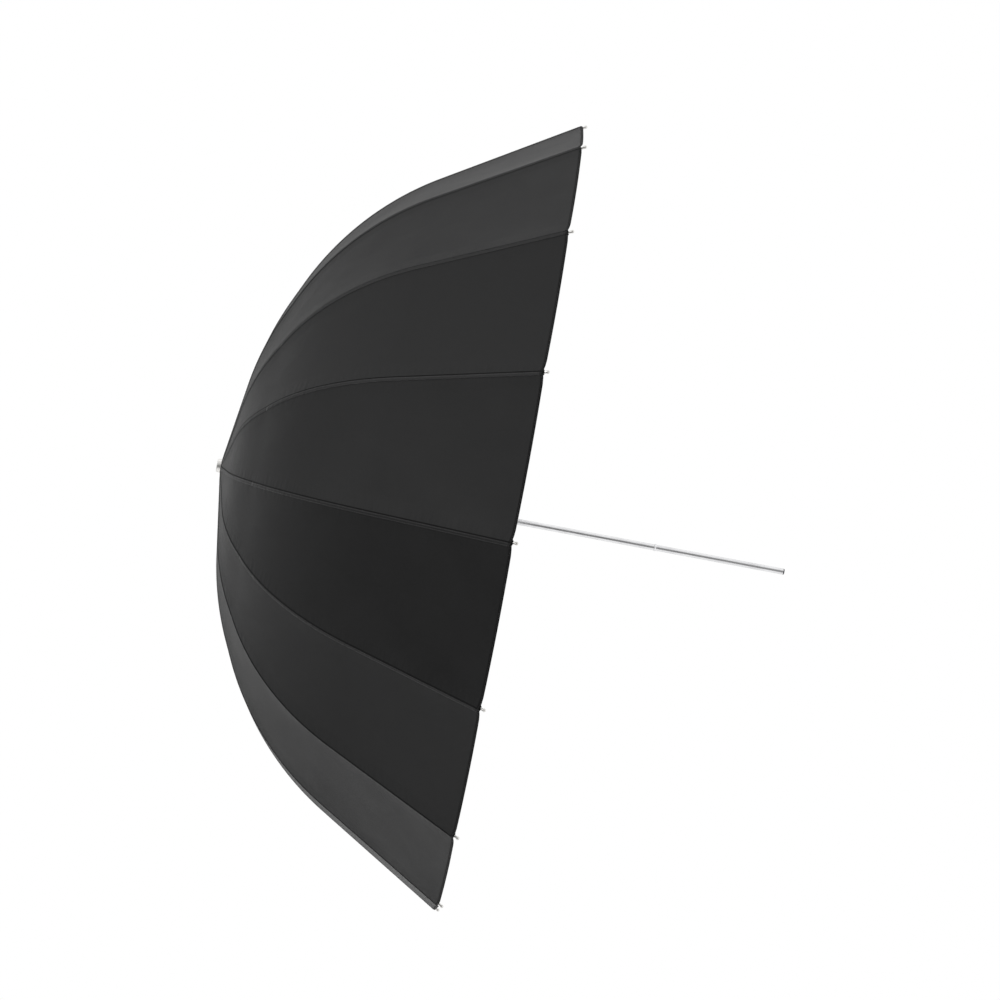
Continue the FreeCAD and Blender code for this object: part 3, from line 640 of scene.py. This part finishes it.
def apex_cloth():
    """The middle of the canopy, held between the crown and the washer."""
    place = np.linspace(APEX_START, APEX_END, APEX_ROWS)
    middle, normal = [], []
    for line in range(RIBS * APEX_COLUMNS):
        number, column = divmod(line, APEX_COLUMNS)
        spin = np.array(Matrix.Rotation(math.radians(number * STEP), 3, "X"))
        point, up = cloth_frame(place, column / APEX_COLUMNS, 1)
        if column == 0:
            # on the rib itself the cloth faces straight away from the shaft
            up = up * (1, 0, 1)
        middle.append(point @ spin.T)
        normal.append(up @ spin.T)
    middle, normal = np.stack(middle, 1), np.stack(normal, 1)
    outer, inner = middle + CLOTH / 2 * normal, middle - CLOTH / 2 * normal
    ring = np.concatenate([outer, inner[::-1]])
    rows, count = ring.shape[:2]
    faces, slots = [], []
    for i in range(rows):
        for j in range(count):
            k, below = (j + 1) % count, (i + 1) % rows
            faces.append([i * count + j, i * count + k, below * count + k, below * count + j])
            slots.append(OUTSIDE if i < APEX_ROWS - 1 else INSIDE)
    build = Build()
    build.add(ring, faces, slots, ring[..., [1, 2, 0]])
    obj = build.piece("cloth_apex", 0, [BLACK_CLOTH, WHITE_CLOTH])
    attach(obj, "root")
    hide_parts("canopy")


# ---------------------------------------------------------------- CAD nodes


def painted(name, made):
    """Gives a CAD node one material."""
    mesh = frame["nodes"][name].data
    mesh.materials.clear()
    mesh.materials.append(made)


def painted_by_place(name, turn, start, end, rod_start, rod_end):
    """Gives a rib its rod's material between its two metal fittings."""
    mesh = frame["nodes"][name].data
    mesh.materials.clear()
    for made in (NICKEL, ROD):
        mesh.materials.append(made)
    back = Matrix.Rotation(math.radians(-turn), 3, "X")
    place = np.linspace(start, end, 200)
    x, r, _ = rib_line(place, 0.0)
    line = np.stack([x, 0 * x, r], -1)
    for face in mesh.polygons:
        centre = np.array(back @ face.center)
        at = place[np.argmin(np.linalg.norm(line - centre, axis=1))]
        face.material_index = FIBRE if rod_start < at < rod_end else FITTING


def paint_frame():
    """Gives every CAD node its materials."""
    single = {
        "shaft_tube": CHROME, "finial": SATIN, "canopy_washer": WASHER, "crown": MOULDING,
        "runner": MOULDING, "shaft_end_plug": MOULDING, "crown_wire": NICKEL, "runner_wire": NICKEL,
        "crown_pin": NICKEL, "catch_pin": NICKEL, "catch_leaf": SPRING,
    }
    for name, made in single.items():
        painted(name, made)
    for number in range(RIBS):
        tag, turn = f"{number + 1:02d}", number * STEP
        painted(f"stretcher_{tag}", NICKEL)
        painted_by_place(f"rib_inner_{tag}", turn, 0, JOINT_PLACE,
                         FITTING_LENGTHS["crown_eye"], JOINT_PLACE - FITTING_LENGTHS["clevis"])
        painted_by_place(f"rib_outer_{tag}", turn, JOINT_PLACE, TIP_PLACE,
                         JOINT_PLACE + FITTING_LENGTHS["tongue"], TIP_PLACE - TIP_LENGTH)


# ---------------------------------------------------------------- studio


def camera():
    """A long lens almost level with the shaft, from the side, with the umbrella turned nose down."""
    lens, distance = 115.4, 4.2558
    yaw, roll, lift = -0.889, 10.65, 2.398
    aside, below, rim_plane = 0.017188, 0.027753, 0.28
    look_along_y = Matrix(((1, 0, 0), (0, 0, -1), (0, 1, 0)))
    turn = (Matrix.Rotation(math.radians(roll), 3, "Z") @ Matrix.Rotation(math.radians(yaw), 3, "Y")
            @ look_along_y @ Matrix.Rotation(math.radians(lift), 3, "X"))
    place = -(turn.transposed() @ Vector((aside, below, distance))) - Vector((rim_plane, 0, 0))
    axes = Matrix((turn[0], -turn[1], -turn[2])).transposed()
    data = bpy.data.cameras.new("camera")
    data.lens, data.sensor_width = lens, 36.0
    data.clip_start, data.clip_end = 0.1, 60.0
    made = bpy.data.objects.new("camera", data)
    made.matrix_world = Matrix.Translation(place) @ axes.to_4x4()
    bpy.context.scene.collection.objects.link(made)
    bpy.context.scene.camera = made


def softbox(name, place, target, size, power):
    """A square area light that faces its target."""
    data = bpy.data.lights.new(name, "AREA")
    data.shape, data.size, data.energy = "SQUARE", size, power
    made = bpy.data.objects.new(name, data)
    made.location = place
    made.rotation_euler = (Vector(target) - Vector(place)).to_track_quat("-Z", "Y").to_euler()
    bpy.context.scene.collection.objects.link(made)


def soft_sky():
    """Light from above, as wide as a ceiling, that reaches the whole floor evenly."""
    data = bpy.data.lights.new("soft_sky", "SUN")
    data.energy, data.angle = SKY_LIGHT, math.radians(SKY_WIDTH)
    made = bpy.data.objects.new("soft_sky", data)
    made.rotation_euler = Vector(SKY_FROM).to_track_quat("Z", "Y").to_euler()
    bpy.context.scene.collection.objects.link(made)


def white_room():
    """A white surround for the camera. It lights the object from the far backdrop, and the canopy's
    white inside from the side that it faces."""
    world = bpy.data.worlds.new("white_room")
    world.use_nodes = True
    nodes, links = world.node_tree.nodes, world.node_tree.links
    seen = node(nodes, links, "LightPath").outputs["Is Camera Ray"]
    where = node(nodes, links, "TexCoord").outputs["Generated"]
    parts = node(nodes, links, "SeparateXYZ", {"Vector": where}).outputs
    strength = seen
    sides = ((parts["Y"], -0.3, 0.6, BACK_LIGHT), (parts["X"], 0.0, 0.7, INSIDE_LIGHT))
    for toward, start, end, light in sides:
        lit = ramp(nodes, links, toward, FRONT_LIGHT, light, start, end)
        strength = node(nodes, links, "Math", {0: strength, 1: lit}, operation="MAXIMUM").outputs[0]
    links.new(strength, nodes["Background"].inputs["Strength"])
    nodes["Background"].inputs["Color"].default_value = (1, 1, 1, 1)
    bpy.context.scene.world = world


def pale_floor():
    """A pale floor that fades out before its edges."""
    low, reach = cad_box[0].z - FLOOR_DROP, FLOOR_REACH
    mesh = bpy.data.meshes.new("floor")
    corners = [(-reach, -reach, low), (reach, -reach, low), (reach, reach, low), (-reach, reach, low)]
    mesh.from_pydata(corners, [], [(0, 1, 2, 3)])
    made, nodes, links, shader = principled("pale_floor", (0.93, 0.93, 0.93), 0.8)
    where = node(nodes, links, "TexCoord").outputs["Object"]
    tone = mixed(nodes, links, noise(nodes, links, where, 1.5), (0.94, 0.94, 0.94), (0.96, 0.96, 0.96))
    links.new(tone, shader.inputs["Base Color"])
    flat = node(nodes, links, "VectorMath", {0: where, 1: (1.0, 1.0, 0.0)}, operation="MULTIPLY")
    reached = node(nodes, links, "VectorMath", {0: flat.outputs["Vector"]}, operation="LENGTH")
    alpha = ramp(nodes, links, reached.outputs["Value"], 1.0, 0.0, FLOOR_FADE, FLOOR_REACH)
    links.new(alpha, shader.inputs["Alpha"])
    mesh.materials.append(made)
    floor = bpy.data.objects.new("floor", mesh)
    bpy.context.scene.collection.objects.link(floor)


def studio():
    """A plain pale floor in a white room, with soft light from above and from one softbox."""
    white_room()
    pale_floor()
    soft_sky()
    middle = (cad_box[0] + cad_box[1]) / 2
    softbox("key_softbox", KEY_FROM, middle, KEY_SIZE, KEY_POWER)
    bpy.context.scene.view_settings.view_transform = "Standard"


camera()
studio()
paint_frame()
apex_cloth()
for rib_number in range(RIBS):
    for rib_part in ("inner", "outer"):
        rib_cloth(rib_number, rib_part)
        seam_strip(rib_number, rib_part)
    tip_pocket(rib_number)
